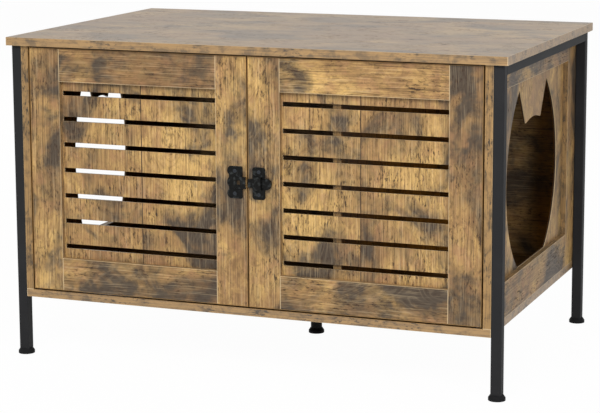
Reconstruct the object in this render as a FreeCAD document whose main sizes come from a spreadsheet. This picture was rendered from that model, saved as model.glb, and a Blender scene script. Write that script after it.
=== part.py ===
"""Litter box cabinet: a board carcass between two steel end frames, with a cat-head opening in each
side, two slatted doors on pivot pins, an interior divider and a slide bolt. Millimetres, +Z up,
origin on the floor under the centre."""
import FreeCAD, Part
import math
import os
import Sketcher

from FreeCAD import Placement, Rotation, Vector

DOC = FreeCAD.newDocument("litter_box_cabinet")
SHEET = DOC.addObject("Spreadsheet::Sheet", "sizes")


class Size:
    """A number together with the sheet expression that gives it."""

    def __init__(self, value, text):
        self.value = float(value)
        self.text = text

    def __add__(self, other):
        other = as_size(other)
        return Size(self.value + other.value, f"({self.text} + {other.text})")

    def __radd__(self, other):
        return as_size(other) + self

    def __sub__(self, other):
        other = as_size(other)
        return Size(self.value - other.value, f"({self.text} - {other.text})")

    def __rsub__(self, other):
        return as_size(other) - self

    def __mul__(self, other):
        other = as_size(other)
        return Size(self.value * other.value, f"({self.text} * {other.text})")

    def __rmul__(self, other):
        return as_size(other) * self

    def __truediv__(self, other):
        other = as_size(other)
        return Size(self.value / other.value, f"({self.text} / {other.text})")

    def __neg__(self):
        return Size(-self.value, f"(-1 * {self.text})")


def as_size(number):
    return number if isinstance(number, Size) else Size(number, f"({float(number)})")


def size(name, value):
    """Writes one driving dimension into the sheet and gives it back as a Size."""
    size.row += 1
    cell = f"B{size.row}"
    SHEET.set(f"A{size.row}", name)
    SHEET.set(cell, str(value))
    SHEET.setAlias(cell, name)
    return Size(value, f"sizes.{name}")


size.row = 0

# ---- driving dimensions ----
# overall
overall_width = size("overall_width", 1000)
overall_depth = size("overall_depth", 650)
overall_height = size("overall_height", 628)
top_thickness = size("top_thickness", 16)
board_thickness = size("board_thickness", 15)
top_overhang = size("top_overhang", 8)
floor_clearance = size("floor_clearance", 117)
# steel end frames
tube_size = size("tube_size", 20)
tube_wall = size("tube_wall", 1.5)
tube_corner = size("tube_corner", 2)
# feet and centre leg
foot_radius = size("foot_radius", 16)
foot_neck_radius = size("foot_neck_radius", 12.5)
foot_rim_height = size("foot_rim_height", 5)
foot_total_height = size("foot_total_height", 10)
foot_plug_length = size("foot_plug_length", 22)
leg_radius = size("leg_radius", 11.5)
leg_wall = size("leg_wall", 1.5)
leg_setback = size("leg_setback", 40)
leg_stud_radius = size("leg_stud_radius", 4)
leg_stud_length = size("leg_stud_length", 11)
leg_cap_thickness = size("leg_cap_thickness", 4)
# panels built of stiles and rails round a thin field
field_thickness = size("field_thickness", 5)
rabbet_width = size("rabbet_width", 8)
side_stile_width = size("side_stile_width", 82)
side_top_rail_width = size("side_top_rail_width", 54)
side_bottom_rail_width = size("side_bottom_rail_width", 68)
# cat-head openings, heights counted from the top of the side's bottom rail
opening_widest_rise = size("opening_widest_rise", 165)
ear_tip_rise = size("ear_tip_rise", 341)
ear_valley_rise = size("ear_valley_rise", 270)
crown_rise = size("crown_rise", 277)
# their half widths, and how far each stands behind the middle of its side
right_opening_half_width = size("right_opening_half_width", 188)
right_opening_base_half = size("right_opening_base_half", 101)
right_ear_tip_half = size("right_ear_tip_half", 99)
right_ear_valley_half = size("right_ear_valley_half", 54)
right_opening_offset = size("right_opening_offset", 0)
left_opening_half_width = size("left_opening_half_width", 118)
left_opening_base_half = size("left_opening_base_half", 86)
left_ear_tip_half = size("left_ear_tip_half", 60)
left_ear_valley_half = size("left_ear_valley_half", 32)
left_opening_offset = size("left_opening_offset", -13)
# back panel and divider
back_thickness = size("back_thickness", 5)
divider_offset = size("divider_offset", 171)
divider_setback = size("divider_setback", 3)
# doors
door_gap = size("door_gap", 3)
meeting_gap = size("meeting_gap", 2.5)
door_stile_width = size("door_stile_width", 63)
door_rail_width = size("door_rail_width", 64)
slot_count = size("slot_count", 7)
slot_height = size("slot_height", 9)
slot_pitch = size("slot_pitch", 50)
slot_margin = size("slot_margin", 2.5)
# door pivots
pivot_inset = size("pivot_inset", 9)
pin_radius = size("pin_radius", 3)
pin_play = size("pin_play", 0.05)
pin_door_depth = size("pin_door_depth", 24)
pin_bush_depth = size("pin_bush_depth", 8)
collar_radius = size("collar_radius", 5)
collar_lift = size("collar_lift", 0.2)
bush_radius = size("bush_radius", 5)
bush_depth = size("bush_depth", 10)
# slide bolt
latch_plate_width = size("latch_plate_width", 26)
latch_plate_height = size("latch_plate_height", 61)
latch_plate_thickness = size("latch_plate_thickness", 1.5)
latch_plate_corner = size("latch_plate_corner", 5)
latch_edge_setback = size("latch_edge_setback", 8.75)
guide_offset = size("guide_offset", 2.5)
guide_length = size("guide_length", 16.5)
guide_height = size("guide_height", 25)
bridge_wall = size("bridge_wall", 1.4)
bridge_bevel = size("bridge_bevel", 0.8)
bolt_height = size("bolt_height", 16)
bolt_thickness = size("bolt_thickness", 2.2)
bolt_rib_radius = size("bolt_rib_radius", 1.8)
bolt_rib_setback = size("bolt_rib_setback", 2)
bolt_play = size("bolt_play", 0.4)
bolt_tip_setback = size("bolt_tip_setback", 0.25)
bolt_length = size("bolt_length", 37)
grip_radius = size("grip_radius", 11)
grip_thickness = size("grip_thickness", 5)
keeper_plate_width = size("keeper_plate_width", 31)
keeper_notch_depth = size("keeper_notch_depth", 3.5)
keeper_middle_lobe = size("keeper_middle_lobe", 12.5)
keeper_window = size("keeper_window", 9)
keeper_window_offset = size("keeper_window_offset", 19)
staple_length = size("staple_length", 24)
staple_height = size("staple_height", 22)
staple_overhang = size("staple_overhang", 8.25)
screw_spacing = size("screw_spacing", 43)
screw_radius = size("screw_radius", 1.6)
screw_head_radius = size("screw_head_radius", 3.6)
screw_head_top_radius = size("screw_head_top_radius", 2.2)
screw_head_height = size("screw_head_height", 1.6)
screw_length = size("screw_length", 12)
# flat-head bolts from the side panels into the posts
frame_bolt_radius = size("frame_bolt_radius", 3)
frame_bolt_head_radius = size("frame_bolt_head_radius", 6)
frame_bolt_head_depth = size("frame_bolt_head_depth", 3)
frame_bolt_length = size("frame_bolt_length", 24)
frame_bolt_low = size("frame_bolt_low", 180)
frame_bolt_spread = size("frame_bolt_spread", 360)

# ---- what follows from them ----
frame_half_width = overall_width / 2 - top_overhang
frame_half_depth = overall_depth / 2 - top_overhang
panel_outer = frame_half_width - tube_size
panel_inner = panel_outer - board_thickness
top_underside = overall_height - top_thickness
floor_top = floor_clearance + board_thickness
inner_height = top_underside - floor_top
door_width = panel_inner - door_gap - meeting_gap / 2
door_height = inner_height - door_gap * 2
door_base = floor_top + door_gap
door_field_width = door_width - door_stile_width * 2
door_field_height = door_height - door_rail_width * 2
recess = board_thickness - field_thickness
side_length = frame_half_depth * 2
side_field_width = side_length - side_stile_width * 2
side_field_height = inner_height - side_top_rail_width - side_bottom_rail_width
front = -frame_half_depth
pivot_x = panel_inner - door_gap - pivot_inset
pivot_y = front + board_thickness / 2
latch_height = door_base + door_height / 2
guide_depth = latch_plate_thickness + bolt_play * 2 + bolt_thickness + bolt_rib_radius + bridge_wall


# ---- helpers ----
def body(name):
    piece = DOC.addObject("PartDesign::Body", name)
    piece.Label = name
    return piece


def origin_feature(piece, role):
    return next(f for f in piece.Origin.OriginFeatures if f.Role == role)


def bind(thing, path, value):
    thing.setExpression(path, as_size(value).text)


def place(piece, x, y, z, rotation=None):
    """Puts a piece at its place in the cabinet, by expressions."""
    spot = Vector(as_size(x).value, as_size(y).value, as_size(z).value)
    piece.Placement = Placement(spot, rotation or Rotation())
    for axis, value in zip("xyz", (x, y, z)):
        bind(piece, f"Placement.Base.{axis}", value)
    return piece


def sketch(piece, role, lift=0):
    """A sketch on one of the piece's own origin planes, lifted along the plane's normal."""
    drawing = piece.newObject("Sketcher::SketchObject", f"{piece.Name}_sketch")
    drawing.AttachmentSupport = [(origin_feature(piece, role), "")]
    drawing.MapMode = "FlatFace"
    if as_size(lift).value:
        bind(drawing, "AttachmentOffset.Base.z", lift)
    return drawing


def limit(drawing, kind, *where):
    """Adds one constraint; a Size as the last item becomes a bound dimension."""
    last = where[-1]
    if isinstance(last, Size):
        index = drawing.addConstraint(Sketcher.Constraint(kind, *where[:-1], last.value))
        drawing.renameConstraint(index, f"size{index}")
        bind(drawing, f"Constraints.size{index}", last)
    else:
        drawing.addConstraint(Sketcher.Constraint(kind, *where))


def at(drawing, shape, point, x, y):
    """Fixes a point of a shape at x, y from the sketch's origin."""
    limit(drawing, "DistanceX", -1, 1, shape, point, as_size(x))
    limit(drawing, "DistanceY", -1, 1, shape, point, as_size(y))


def rectangle(drawing, left, low, width, height):
    left, low, width, height = (as_size(v) for v in (left, low, width, height))
    x0, y0 = left.value, low.value
    x1, y1 = x0 + width.value, y0 + height.value
    corners = [Vector(x0, y0, 0), Vector(x1, y0, 0), Vector(x1, y1, 0), Vector(x0, y1, 0)]
    first = drawing.GeometryCount
    for i in range(4):
        drawing.addGeometry(Part.LineSegment(corners[i], corners[(i + 1) % 4]), False)
    for i in range(4):
        limit(drawing, "Coincident", first + i, 2, first + (i + 1) % 4, 1)
        limit(drawing, "Horizontal" if i % 2 == 0 else "Vertical", first + i)
    at(drawing, first, 1, left, low)
    limit(drawing, "DistanceX", first, 1, first, 2, width)
    limit(drawing, "DistanceY", first + 1, 1, first + 1, 2, height)


def rounded_rectangle(drawing, left, low, width, height, radius):
    """A rectangle whose corners are quarter circles: four sides, then four tangent arcs."""
    left, low, width, height, radius = (as_size(v) for v in (left, low, width, height, radius))
    x0, y0, r = left.value, low.value, radius.value
    x1, y1 = x0 + width.value, y0 + height.value
    first = drawing.GeometryCount
    sides = [
        ((x0 + r, y0), (x1 - r, y0)),
        ((x1, y0 + r), (x1, y1 - r)),
        ((x1 - r, y1), (x0 + r, y1)),
        ((x0, y1 - r), (x0, y0 + r)),
    ]
    centres = [(x1 - r, y0 + r), (x1 - r, y1 - r), (x0 + r, y1 - r), (x0 + r, y0 + r)]
    for start, end in sides:
        drawing.addGeometry(Part.LineSegment(Vector(*start, 0), Vector(*end, 0)), False)
    for i, centre in enumerate(centres):
        circle = Part.Circle(Vector(*centre, 0), Vector(0, 0, 1), r)
        turn = math.radians(270 + 90 * i)
        drawing.addGeometry(Part.ArcOfCircle(circle, turn, turn + math.pi / 2), False)
    for i in range(4):
        limit(drawing, "Tangent", first + i, 2, first + 4 + i, 1)
        limit(drawing, "Tangent", first + 4 + i, 2, first + (i + 1) % 4, 1)
        limit(drawing, "Horizontal" if i % 2 == 0 else "Vertical", first + i)
    for i in range(1, 4):
        limit(drawing, "Equal", first + 4, first + 4 + i)
    limit(drawing, "Radius", first + 4, radius)
    limit(drawing, "DistanceX", -1, 1, first, 1, left + radius)
    limit(drawing, "DistanceY", -1, 1, first, 1, low)
    limit(drawing, "DistanceX", first, 1, first, 2, width - radius * 2)
    limit(drawing, "DistanceY", first + 1, 1, first + 1, 2, height - radius * 2)


def circle(drawing, x, y, radius):
    x, y, radius = (as_size(v) for v in (x, y, radius))
    ring = Part.Circle(Vector(x.value, y.value, 0), Vector(0, 0, 1), radius.value)
    index = drawing.addGeometry(ring, False)
    at(drawing, index, 3, x, y)
    limit(drawing, "Radius", index, radius)


def half_round(drawing, x, radius):
    """A half disc about (x, 0), its straight side upright on the left."""
    x, radius = as_size(x), as_size(radius)
    centre = Vector(x.value, 0, 0)
    ring = Part.Circle(centre, Vector(0, 0, 1), radius.value)
    arc = drawing.addGeometry(Part.ArcOfCircle(ring, -math.pi / 2, math.pi / 2), False)
    rise = Vector(0, radius.value, 0)
    side = drawing.addGeometry(Part.LineSegment(centre + rise, centre - rise), False)
    limit(drawing, "Coincident", arc, 2, side, 1)
    limit(drawing, "Coincident", side, 2, arc, 1)
    limit(drawing, "Vertical", side)
    limit(drawing, "PointOnObject", arc, 3, side)
    limit(drawing, "PointOnObject", arc, 3, -1)
    limit(drawing, "DistanceX", -1, 1, arc, 3, x)
    limit(drawing, "Radius", arc, radius)


def outline(drawing, points):
    """A closed outline of straight lines through (x, y) points, each point fixed by its sizes."""
    points = [(as_size(x), as_size(y)) for x, y in points]
    spots = [Vector(x.value, y.value, 0) for x, y in points]
    first = drawing.GeometryCount
    count = len(points)
    for i in range(count):
        drawing.addGeometry(Part.LineSegment(spots[i], spots[(i + 1) % count]), False)
    for i in range(count):
        limit(drawing, "Coincident", first + i, 2, first + (i + 1) % count, 1)
        at(drawing, first + i, 1, *points[i])


def pad(piece, drawing, length, backwards=False):
    feature = piece.newObject("PartDesign::Pad", f"{piece.Name}_pad")
    feature.Profile = drawing
    feature.Reversed = backwards
    bind(feature, "Length", length)
    return feature


def pocket(piece, drawing, length, backwards=False):
    feature = piece.newObject("PartDesign::Pocket", f"{piece.Name}_pocket")
    feature.Profile = drawing
    feature.Reversed = backwards
    bind(feature, "Length", length)
    return feature


def revolve(piece, drawing):
    """Turns a half outline about the sketch's vertical axis."""
    feature = piece.newObject("PartDesign::Revolution", f"{piece.Name}_turned")
    feature.Profile = drawing
    feature.ReferenceAxis = (drawing, ["V_Axis"])
    feature.Angle = 360
    return feature


def repeat(piece, features, role, length, count):
    """Copies features along one of the piece's own axes; length is from the first to the last."""
    pattern = piece.newObject("PartDesign::LinearPattern", f"{piece.Name}_row")
    pattern.Originals = features
    pattern.Direction = (origin_feature(piece, role), [""])
    bind(pattern, "Length", length)
    bind(pattern, "Occurrences", count)
    piece.Tip = pattern
    return pattern


# ---- boards ----
def flat_board(name, x, y, z, width, depth, thickness):
    """A board lying flat, its low corner at x, y, z."""
    piece = place(body(name), x, y, z)
    drawing = sketch(piece, "XY_Plane")
    rectangle(drawing, 0, 0, width, depth)
    pad(piece, drawing, thickness)
    return piece


def front_board(name, x, y, z, width, thickness, height):
    """A board whose broad face looks to the front."""
    piece = place(body(name), x, y, z)
    drawing = sketch(piece, "XZ_Plane")
    rectangle(drawing, 0, 0, width, height)
    pad(piece, drawing, thickness, backwards=True)
    return piece


def side_board(name, x, y, z, thickness, depth, height):
    """A board whose broad face looks to the side."""
    piece = place(body(name), x, y, z)
    drawing = sketch(piece, "YZ_Plane")
    rectangle(drawing, 0, 0, depth, height)
    pad(piece, drawing, thickness)
    return piece


def top_panel():
    left, near = -overall_width / 2, -overall_depth / 2
    piece = flat_board(
        "top_panel", left, near, top_underside, overall_width, overall_depth, top_thickness
    )
    bores = sketch(piece, "XY_Plane")
    for side in (-1, 1):
        circle(bores, pivot_x * side - left, pivot_y - near, bush_radius)
    pocket(piece, bores, bush_depth, backwards=True)


def bottom_panel():
    width = panel_outer * 2
    piece = flat_board(
        "bottom_panel", -panel_outer, front, floor_clearance, width, side_length, board_thickness
    )
    bores = sketch(piece, "XY_Plane", board_thickness)
    for side in (-1, 1):
        circle(bores, panel_outer + pivot_x * side, pivot_y - front, bush_radius)
    pocket(piece, bores, bush_depth)
    stud = sketch(piece, "XY_Plane")
    circle(stud, panel_outer, leg_setback - front, leg_stud_radius)
    pocket(piece, stud, leg_stud_length, backwards=True)


def back_and_divider():
    front_board(
        "back_panel",
        -panel_inner,
        frame_half_depth - back_thickness,
        floor_top,
        panel_inner * 2,
        back_thickness,
        inner_height,
    )
    divider_front = front + board_thickness + divider_setback
    side_board(
        "divider_panel",
        divider_offset - board_thickness / 2,
        divider_front,
        floor_top,
        board_thickness,
        frame_half_depth - back_thickness - divider_front,
        inner_height,
    )


# ---- side panels ----
def side_panel(side, name):
    """Two stiles, two rails and the field with the cat-head opening, all flush on the inside."""
    x = panel_inner if side > 0 else -panel_outer
    rabbet_x = as_size(0) if side > 0 else recess
    field_low = side_bottom_rail_width - rabbet_width
    for end, y, rabbet_y in (
        ("front", front, side_stile_width - rabbet_width),
        ("rear", frame_half_depth - side_stile_width, as_size(0)),
    ):
        stile = side_board(
            f"{name}_side_{end}_stile", x, y, floor_top, board_thickness, side_stile_width, inner_height
        )
        step = sketch(stile, "YZ_Plane", rabbet_x)
        rectangle(step, rabbet_y, field_low, rabbet_width, side_field_height + rabbet_width * 2)
        pocket(stile, step, field_thickness, backwards=True)
        bolt_y = tube_size / 2 if end == "front" else side_stile_width - tube_size / 2
        frame_bolt_holes(stile, side, bolt_y)
    for end, z, height, rabbet_z in (
        ("bottom", floor_top, side_bottom_rail_width, side_bottom_rail_width - rabbet_width),
        ("top", top_underside - side_top_rail_width, side_top_rail_width, as_size(0)),
    ):
        near = front + side_stile_width
        rail = side_board(
            f"{name}_side_{end}_rail", x, near, z, board_thickness, side_field_width, height
        )
        step = sketch(rail, "YZ_Plane", rabbet_x)
        rectangle(step, 0, rabbet_z, side_field_width, rabbet_width)
        pocket(rail, step, field_thickness, backwards=True)
    side_field(side, name, floor_top + field_low)


def side_field(side, name, z):
    """The thin field. Its opening is a cat's head: two arcs a side, meeting upright at the widest
    point, pointed ears and a low crown, cut off straight at the bottom rail. The left one is the
    narrower."""
    x = panel_inner if side > 0 else -panel_inner - field_thickness
    piece = place(body(f"{name}_side_field"), x, 0, z)
    sheet = sketch(piece, "YZ_Plane")
    width = side_field_width + rabbet_width * 2
    rectangle(sheet, -width / 2, 0, width, side_field_height + rabbet_width * 2)
    pad(piece, sheet, field_thickness)
    head = sketch(piece, "YZ_Plane")
    if side > 0:
        bind(head, "AttachmentOffset.Base.x", right_opening_offset)
        cat_head(
            head,
            rabbet_width,
            right_opening_half_width,
            right_opening_base_half,
            right_ear_tip_half,
            right_ear_valley_half,
        )
    else:
        bind(head, "AttachmentOffset.Base.x", left_opening_offset)
        cat_head(
            head,
            rabbet_width,
            left_opening_half_width,
            left_opening_base_half,
            left_ear_tip_half,
            left_ear_valley_half,
        )
    pocket(piece, head, field_thickness, backwards=True)


def cat_head(drawing, base, half_width, base_half, tip_half, valley_half):
    """Draws the head on a sketch, symmetric about the vertical axis, its flat bottom at base."""
    rise = base.value
    widest = (half_width.value, rise + opening_widest_rise.value)
    foot = (base_half.value, rise)
    tip = (tip_half.value, rise + ear_tip_rise.value)
    valley = (valley_half.value, rise + ear_valley_rise.value)
    crown = (0, rise + crown_rise.value)

    def upright_arc(end):
        """The arc from the widest point to end whose centre is level with the widest point."""
        run = widest[0] - end[0]
        drop = abs(widest[1] - end[1])
        radius = (run * run + drop * drop) / (2 * run)
        centre = widest[0] - radius
        turn = math.asin(drop / radius)
        return centre, radius, turn

    def arc(centre, radius, start, end):
        ring = Part.Circle(Vector(*centre, 0), Vector(0, 0, 1), radius)
        return drawing.addGeometry(Part.ArcOfCircle(ring, start, end), False)

    def line(start, end):
        return drawing.addGeometry(Part.LineSegment(Vector(*start, 0), Vector(*end, 0)), False)

    low_centre, low_radius, low_turn = upright_arc(foot)
    high_centre, high_radius, high_turn = upright_arc(tip)
    right_low = arc((low_centre, widest[1]), low_radius, -low_turn, 0)
    right_high = arc((high_centre, widest[1]), high_radius, 0, high_turn)
    left_high = arc((-high_centre, widest[1]), high_radius, math.pi - high_turn, math.pi)
    left_low = arc((-low_centre, widest[1]), low_radius, math.pi, math.pi + low_turn)
    right_ear = line(tip, valley)
    left_ear = line((-valley[0], valley[1]), (-tip[0], tip[1]))
    chord = valley[0]
    sagitta = crown[1] - valley[1]
    crown_radius = (chord * chord + sagitta * sagitta) / (2 * sagitta)
    half = math.asin(chord / crown_radius)
    top = arc((0, crown[1] - crown_radius), crown_radius, math.pi / 2 - half, math.pi / 2 + half)
    bottom = line((-foot[0], foot[1]), foot)
    for a, a_end, b, b_end in (
        (bottom, 2, right_low, 1),
        (right_low, 2, right_high, 1),
        (right_high, 2, right_ear, 1),
        (right_ear, 2, top, 1),
        (top, 2, left_ear, 1),
        (left_ear, 2, left_high, 1),
        (left_high, 2, left_low, 1),
        (left_low, 2, bottom, 1),
    ):
        limit(drawing, "Coincident", a, a_end, b, b_end)
    at(drawing, bottom, 2, base_half, base)
    at(drawing, right_low, 2, half_width, base + opening_widest_rise)
    at(drawing, right_ear, 1, tip_half, base + ear_tip_rise)
    at(drawing, right_ear, 2, valley_half, base + ear_valley_rise)
    for a, a_end, b, b_end in (
        (bottom, 1, bottom, 2),
        (left_low, 1, right_low, 2),
        (left_ear, 2, right_ear, 1),
        (left_ear, 1, right_ear, 2),
    ):
        limit(drawing, "Symmetric", a, a_end, b, b_end, -2)
    for a in (right_low, left_low, right_high, left_high):
        limit(drawing, "Horizontal", a, 3, right_low, 2)
    crown_height = crown_rise - ear_valley_rise
    bend = (valley_half * valley_half + crown_height * crown_height) / (crown_height * 2)
    limit(drawing, "Radius", top, bend)


def frame_bolt_holes(stile, side, y):
    """Clearance holes, counterbored from the inside, for the bolts that hold a stile to its post."""
    shank = sketch(stile, "YZ_Plane")
    for z in (frame_bolt_low, frame_bolt_low + frame_bolt_spread):
        circle(shank, y, z - floor_top, frame_bolt_radius)
    pocket(stile, shank, board_thickness, backwards=True)
    lift = as_size(0) if side > 0 else board_thickness - frame_bolt_head_depth
    head = sketch(stile, "YZ_Plane", lift)
    for z in (frame_bolt_low, frame_bolt_low + frame_bolt_spread):
        circle(head, y, z - floor_top, frame_bolt_head_radius)
    pocket(stile, head, frame_bolt_head_depth, backwards=True)


def frame_bolts(side, name):
    """Four flat-head bolts, flush with the inside of the side panel and reaching into its posts."""
    piece = body(f"{name}_frame_bolts")
    turn = Rotation(Vector(0, 1, 0), 90 if side > 0 else -90)
    place(piece, panel_inner * side, front + tube_size / 2, frame_bolt_low, turn)
    shape = sketch(piece, "XZ_Plane")
    outline(
        shape,
        [
            (0, 0),
            (frame_bolt_head_radius, 0),
            (frame_bolt_radius, frame_bolt_head_depth),
            (frame_bolt_radius, frame_bolt_length),
            (0, frame_bolt_length),
        ],
    )
    turned = revolve(piece, shape)
    transform = piece.newObject("PartDesign::MultiTransform", f"{name}_frame_bolts_grid")
    transform.Originals = [turned]
    steps = []
    for role, length in (("Y_Axis", side_length - tube_size), ("X_Axis", frame_bolt_spread)):
        step = piece.newObject("PartDesign::LinearPattern", f"{piece.Name}_step")
        step.Direction = (origin_feature(piece, role), [""])
        step.Reversed = role == "X_Axis" and side > 0
        bind(step, "Length", length)
        step.Occurrences = 2
        steps.append(step)
    transform.Transformations = steps
    piece.Tip = transform


# ---- steel end frames ----
def post(side, name, end):
    """A square tube standing on its foot, with two tapped holes towards the side panel."""
    x = frame_half_width - tube_size if side > 0 else -frame_half_width
    y = front if end == "front" else frame_half_depth - tube_size
    piece = place(body(f"{name}_{end}_post"), x, y, foot_total_height)
    walls = sketch(piece, "XY_Plane")
    rounded_rectangle(walls, 0, 0, tube_size, tube_size, tube_corner)
    bore = tube_size - tube_wall * 2
    rectangle(walls, tube_wall, tube_wall, bore, bore)
    pad(piece, walls, top_underside - foot_total_height)
    lift = as_size(0) if side > 0 else tube_size - tube_wall
    holes = sketch(piece, "YZ_Plane", lift)
    for z in (frame_bolt_low, frame_bolt_low + frame_bolt_spread):
        circle(holes, tube_size / 2, z - foot_total_height, frame_bolt_radius)
    pocket(piece, holes, tube_wall, backwards=True)


def frame_top_rail(side, name):
    """The square tube welded between the two posts, just under the top."""
    x = frame_half_width - tube_size if side > 0 else -frame_half_width
    piece = place(body(f"{name}_frame_top_rail"), x, front + tube_size, top_underside - tube_size)
    walls = sketch(piece, "XZ_Plane")
    rounded_rectangle(walls, 0, 0, tube_size, tube_size, tube_corner)
    bore = tube_size - tube_wall * 2
    rectangle(walls, tube_wall, tube_wall, bore, bore)
    pad(piece, walls, side_length - tube_size * 2, backwards=True)


def foot(name, x, y, square):
    """A moulded foot: a round rim that draws in to a neck, and a plug that fills the end of its tube."""
    piece = place(body(name), x, y, 0)
    shape = sketch(piece, "XZ_Plane")
    outline(
        shape,
        [
            (0, 0),
            (foot_radius, 0),
            (foot_radius, foot_rim_height),
            (foot_neck_radius, foot_total_height),
            (0, foot_total_height),
        ],
    )
    revolve(piece, shape)
    plug = sketch(piece, "XY_Plane", foot_total_height)
    if square:
        bore = tube_size - tube_wall * 2
        rectangle(plug, -bore / 2, -bore / 2, bore, bore)
    else:
        circle(plug, 0, 0, leg_radius - leg_wall)
    pad(piece, plug, foot_plug_length)


def centre_leg():
    """The round leg under the floor board, with a cap and a stud that goes up into the board."""
    piece = place(body("centre_leg"), 0, leg_setback, foot_total_height)
    wall = sketch(piece, "XY_Plane")
    circle(wall, 0, 0, leg_radius)
    pad(piece, wall, floor_clearance - foot_total_height)
    bore = sketch(piece, "XY_Plane")
    circle(bore, 0, 0, leg_radius - leg_wall)
    pocket(piece, bore, floor_clearance - foot_total_height - leg_cap_thickness, backwards=True)
    stud = sketch(piece, "XY_Plane", floor_clearance - foot_total_height)
    circle(stud, 0, 0, leg_stud_radius)
    pad(piece, stud, leg_stud_length)


# ---- doors ----
def door(side, name):
    """One door: a hinge stile, a meeting stile and two rails round a thin field cut with slots."""
    x = meeting_gap / 2 if side > 0 else -panel_inner + door_gap
    field_low = door_rail_width - rabbet_width
    field_tall = door_field_height + rabbet_width * 2
    for kind in ("hinge", "meeting"):
        on_right = (kind == "hinge") == (side > 0)
        stile_x = x + door_width - door_stile_width if on_right else x
        stile = front_board(
            f"{name}_door_{kind}_stile",
            stile_x,
            front,
            door_base,
            door_stile_width,
            board_thickness,
            door_height,
        )
        step = sketch(stile, "XZ_Plane", -recess)
        step_x = 0 if on_right else door_stile_width - rabbet_width
        rectangle(step, step_x, field_low, rabbet_width, field_tall)
        pocket(stile, step, field_thickness)
        if kind == "hinge":
            pin_bores(stile, pivot_x * side - stile_x)
        else:
            screw_bores(stile, screw_x(side) - stile_x)
    rail_x = x + door_stile_width
    for end, z, step_z in (
        ("bottom", door_base, door_rail_width - rabbet_width),
        ("top", door_base + door_height - door_rail_width, as_size(0)),
    ):
        rail = front_board(
            f"{name}_door_{end}_rail",
            rail_x,
            front,
            z,
            door_field_width,
            board_thickness,
            door_rail_width,
        )
        step = sketch(rail, "XZ_Plane", -recess)
        rectangle(step, 0, step_z, door_field_width, rabbet_width)
        pocket(rail, step, field_thickness)
    slat_field(name, rail_x - rabbet_width, door_base + field_low, field_tall)


def slat_field(name, x, z, tall):
    """The thin field behind the door's frame, with a column of level slots centred between the rails."""
    width = door_field_width + rabbet_width * 2
    piece = front_board(
        f"{name}_door_slat_field", x, front + recess, z, width, field_thickness, tall
    )
    slot = sketch(piece, "XZ_Plane")
    spread = slot_pitch * (slot_count - 1)
    inset = rabbet_width + slot_margin
    rectangle(slot, inset, (tall - spread - slot_height) / 2, width - inset * 2, slot_height)
    cut = pocket(piece, slot, field_thickness)
    repeat(piece, [cut], "Z_Axis", spread, slot_count)


def pin_bores(stile, x):
    """Blind holes for the pivot pins in the stile's bottom and top edges."""
    low = sketch(stile, "XY_Plane")
    circle(low, x, board_thickness / 2, pin_radius)
    pocket(stile, low, pin_door_depth, backwards=True)
    high = sketch(stile, "XY_Plane", door_height)
    circle(high, x, board_thickness / 2, pin_radius)
    pocket(stile, high, pin_door_depth)


def screw_x(side):
    """Where the screws of the slide bolt's plates stand."""
    if side > 0:
        return latch_plate_left() + latch_plate_width / 2
    return -latch_plate_left() - keeper_plate_width / 2


def latch_plate_left():
    return meeting_gap / 2 + latch_edge_setback


def screw_bores(stile, x):
    bores = sketch(stile, "XZ_Plane")
    for z in (door_height / 2 - screw_spacing / 2, door_height / 2 + screw_spacing / 2):
        circle(bores, x, z, screw_radius)
    pocket(stile, bores, screw_length - latch_plate_thickness)


def pivot(side, name, upper):
    """A pivot pin in the door's edge, its collar filling the gap but for a little lift, and the
    bush that it turns in."""
    end = "upper" if upper else "lower"
    x = pivot_x * side
    flip = Rotation(Vector(1, 0, 0), 180) if upper else Rotation()
    edge = door_base + door_height if upper else door_base
    face = top_underside if upper else floor_top
    pin = place(body(f"{name}_door_{end}_pin"), x, pivot_y, edge, flip)
    shape = sketch(pin, "XZ_Plane")
    tip = -door_gap - pin_bush_depth
    outline(
        shape,
        [
            (0, tip),
            (pin_radius, tip),
            (pin_radius, collar_lift - door_gap),
            (collar_radius, collar_lift - door_gap),
            (collar_radius, 0),
            (pin_radius, 0),
            (pin_radius, pin_door_depth),
            (0, pin_door_depth),
        ],
    )
    revolve(pin, shape)
    bush = place(body(f"{name}_{end}_bush"), x, pivot_y, face, flip)
    ring = sketch(bush, "XZ_Plane")
    bore = pin_radius + pin_play
    outline(
        ring,
        [
            (bore, -bush_depth),
            (bush_radius, -bush_depth),
            (bush_radius, 0),
            (bore, 0),
        ],
    )
    revolve(bush, ring)


# ---- slide bolt ----
def latch_plate():
    """The cast plate on the right door, with rounded corners."""
    piece = place(body("latch_plate"), latch_plate_left(), front, latch_height)
    plate = sketch(piece, "XZ_Plane")
    rounded_rectangle(
        plate, 0, -latch_plate_height / 2, latch_plate_width, latch_plate_height, latch_plate_corner
    )
    pad(piece, plate, latch_plate_thickness)
    plate_holes(piece, latch_plate_width / 2)
    bridge("bolt_guide", latch_plate_left() + guide_offset, guide_length, guide_height)


def plate_holes(piece, x):
    holes = sketch(piece, "XZ_Plane")
    for z in (-screw_spacing / 2, screw_spacing / 2):
        circle(holes, x, z, screw_radius)
    pocket(piece, holes, latch_plate_thickness, backwards=True)


def bridge(name, x, length, height):
    """A bridge along X that stands on a plate, its passage a running fit round the bolt's bar."""
    piece = place(body(name), x, front - latch_plate_thickness, latch_height)
    section = sketch(piece, "YZ_Plane")
    crown = bolt_play * 2 + bolt_thickness + bolt_rib_radius
    outer = crown + bridge_wall
    passage = bolt_height / 2 + bolt_play
    outline(
        section,
        [
            (0, -height / 2),
            (-outer + bridge_bevel, -height / 2),
            (-outer, -height / 2 + bridge_bevel),
            (-outer, height / 2 - bridge_bevel),
            (-outer + bridge_bevel, height / 2),
            (0, height / 2),
            (0, passage),
            (-crown, passage),
            (-crown, -passage),
            (0, -passage),
        ],
    )
    pad(piece, section, length)
    return piece


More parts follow.
